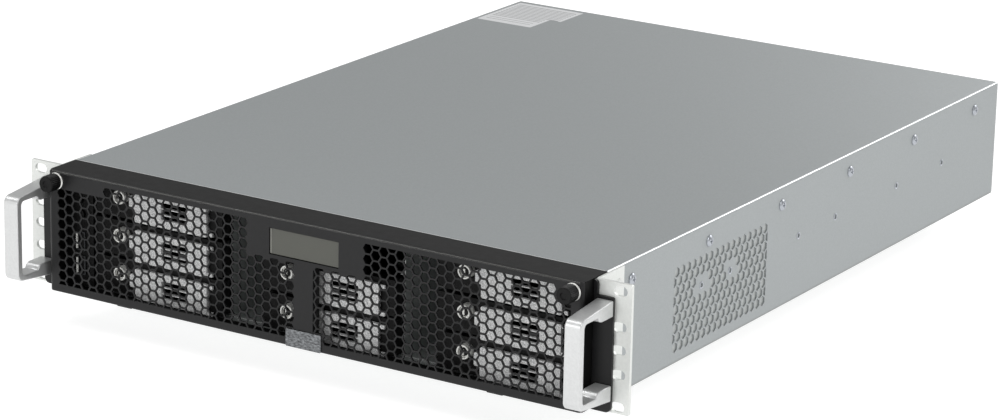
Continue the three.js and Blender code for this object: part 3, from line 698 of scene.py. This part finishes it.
for x, z in SUBS:
    body = (x[0] + 4, x[1] - 4)
    metal.append(tube(d_shape(body, z, 0.1), d_shape(body, z, 0.7), 576, 590))
    inside.append(prism(d_shape(body, z, 0.75), 577, 588.8, "y"))
    middle = sum(z) / 2
    metal += [tube(hexagon(u, middle, 5.4, 0), circle(u, middle, 1.5, 6), 589.3, 590) for u in x]
    gold += [prism(circle(body[0] + 3.4 + 2.75 * i + 1.3 * row, middle - 1.6 + 3.2 * row, 0.55, 8),
                   588.7, 589.3, "y") for row in (0, 1) for i in range(6)]
for z in JACK_Z:
    metal.append(tube(circle(JACK_X, z, 3.1, 20), circle(JACK_X, z, 1.8, 20), 578, 590))
piece("io_shells", metal, ZINC, "chassis")
piece("io_inserts", inside, SOCKET, "chassis")
piece("io_contacts", gold, GOLD, "chassis")


def power_module(z):
    """The shells of one module: can and rear face, finger ring, fan and inlet, and the inlet's pins."""
    x0, x1, z0, z1 = PSU_X - PSU_HALF, PSU_X + PSU_HALF, z - PSU_HIGH, z + PSU_HIGH
    grille = (PSU_X - 20, z)
    columns = [grille[0] + 4.16 * i for i in range(-4, 5)]
    holes = [hole for hole in honeycomb((grille[0] - 20, grille[0] + 20, z0, z1), columns, 4.8, 4.1, z, 0)
             if max(math.dist(grille, p) for p in hole) < 17]
    inlet_x = PSU_X + 26
    inlet = rounded(inlet_x - 12, inlet_x + 12, z - 8, z + 8, 2.5)
    can = tube(rectangle(x0, x1, z0, z1), rectangle(x0 + 1.2, x1 - 1.2, z0 + 1.2, z1 - 1.2), 400, 588.6)
    face = perforated(rectangle(x0, x1, z0, z1), holes + [inlet], 588.6, 590, "y")
    foot = 589.9
    ring = [(PSU_X - 32, foot)] + arc(PSU_X - 24, 606, 8, 180, 90, 6) + arc(PSU_X - 4, 606, 8, 90, 0, 6)
    ring += [(PSU_X + 4, foot), (PSU_X - 1, foot)] + arc(PSU_X - 6, 604, 5, 0, 90, 5)
    ring += arc(PSU_X - 22, 604, 5, 90, 180, 5) + [(PSU_X - 27, foot)]
    fan = [turned([(0.3, 578), (6.5, 578), (7, 577.4), (7, 572), (0.3, 572)], *grille, 24),
           tube(circle(*grille, 18.6, 32), circle(*grille, 17.6, 32), 568, 588.5)]
    for i in range(BLADES):
        turn = 2 * math.pi * i / BLADES
        blade = [(r * math.cos(turn + a), r * math.sin(turn + a)) for r, a in
                 ((6.5, 0), (17, -0.12), (17, 0.38), (6.5, 0.62))]
        fan.append(prism([(grille[0] + u, z + v) for u, v in blade], 574, 575, "y"))
    socket = [tube(rounded(inlet_x - 11.9, inlet_x + 11.9, z - 7.9, z + 7.9, 2.5),
                   rounded(inlet_x - 10, inlet_x + 10, z - 6, z + 6, 1.5), 574, 589.8),
              block((inlet_x - 12, inlet_x + 12), (572, 574), (z - 8, z + 8))]
    pins = [block((inlet_x + u - 1, inlet_x + u + 1), (574, 586), (z + v - 2, z + v + 2))
            for u, v in ((-6, -1), (0, 2), (6, -1))]
    return [can, face], [prism(ring, z - 4, z + 4, "z")], fan + socket, pins


for place, z in (("lower", 23.6), ("upper", 63.6)):
    body = f"psu_module_{place}"
    shell, ring, black, pins = power_module(z)
    piece(f"psu_can_{place}", shell, WALL, body, [body])
    piece(f"psu_ring_{place}", ring, DARK, body, bevel=0.8)
    piece(f"psu_fan_{place}", black, SOCKET, body)
    piece(f"psu_pins_{place}", pins, BRIGHT, body)
    lens = [(0.2, 590.5), (1.3, 590.4), (1.8, 589.9), (1.8, 589), (0.2, 589)]
    piece(f"psu_lamp_{place}", [turned(lens, PSU_X + 45, z + 12, 20)], LAMP, body)

# ---- floor, light and camera -------------------------------------------------------------------
FLOOR_REACH, FLOOR_Z = 12.0, -0.024              # metres, low enough to show the door when it hangs open
FLOOR_GLOW = 0.72
SKY = 0.45
AZIMUTH, ELEVATION, ROLL = (math.radians(a) for a in (32.205, 17.024, 1.133))
AIM, DISTANCE = (14.55, 200, 43.06), 2.62804     # aim in layout millimetres, distance in metres
SENSOR, LENS, SHIFT = 36.0, 134.47, (0.00244, 0.00513)

floor_mesh = bpy.data.meshes.new("floor")
floor_corners = rectangle(-FLOOR_REACH, FLOOR_REACH, -FLOOR_REACH, FLOOR_REACH)
floor_mesh.from_pydata([(x, y, 0) for x, y in floor_corners], [], [[0, 1, 2, 3]])
floor = bpy.data.objects.new("floor", floor_mesh)
floor.location.z = FLOOR_Z
paper = material("floor_white", (188, 188, 188), 0.9, scale=3, mottle=0.005, bump=0.0, specular=0.1)
glow = paper.node_tree.nodes["Principled BSDF"]
glow.inputs["Emission Color"].default_value = (1, 1, 1, 1)
glow.inputs["Emission Strength"].default_value = FLOOR_GLOW
floor_mesh.materials.append(paper)
bpy.context.scene.collection.objects.link(floor)


def softbox(name, place, target, size, watts):
    """A rectangular light that faces its target."""
    lamp = bpy.data.lights.new(name, "AREA")
    lamp.shape = "RECTANGLE"
    lamp.size, lamp.size_y = size
    lamp.energy = watts
    made = bpy.data.objects.new(name, lamp)
    made.location = place
    made.rotation_euler = (Vector(target) - Vector(place)).to_track_quat("-Z", "Y").to_euler()
    bpy.context.scene.collection.objects.link(made)


softbox("front", (-0.6, -3.2, 0.9), (0, 0, 0.04), (2.6, 1.2), 30)
softbox("right", (1.6, -0.9, 1.3), (0.1, -0.1, 0.04), (1.0, 1.0), 13)
softbox("rear", (0.9, 3.6, 2.1), (0, 0, 0.04), (4.4, 2.0), 84)
softbox("crest", (-1.5, -0.9, 2.4), (0, -0.2, 0.06), (0.9, 0.9), 14)

world = bpy.data.worlds.new("studio")
world.use_nodes = True
sky = world.node_tree.nodes["Background"]
sky.inputs["Color"].default_value = (1, 1, 1, 1)
sky.inputs["Strength"].default_value = SKY
bpy.context.scene.world = world
bpy.context.scene.view_settings.view_transform = "Standard"

back = Vector((math.sin(AZIMUTH) * math.cos(ELEVATION), -math.cos(AZIMUTH) * math.cos(ELEVATION),
               math.sin(ELEVATION)))
level = Vector((math.cos(AZIMUTH), math.sin(AZIMUTH), 0))
upright = back.cross(level)
across = level * math.cos(ROLL) + upright * math.sin(ROLL)
above = upright * math.cos(ROLL) - level * math.sin(ROLL)
camera = bpy.data.objects.new("camera", bpy.data.cameras.new("camera"))
camera.data.sensor_width = SENSOR
camera.data.lens = LENS
camera.data.shift_x, camera.data.shift_y = SHIFT
turn = Matrix((across, above, back)).transposed().to_4x4()
camera.matrix_world = Matrix.Translation(at(*AIM) + back * DISTANCE) @ turn
bpy.context.scene.collection.objects.link(camera)
bpy.context.scene.camera = camera

bpy.context.view_layer.update()
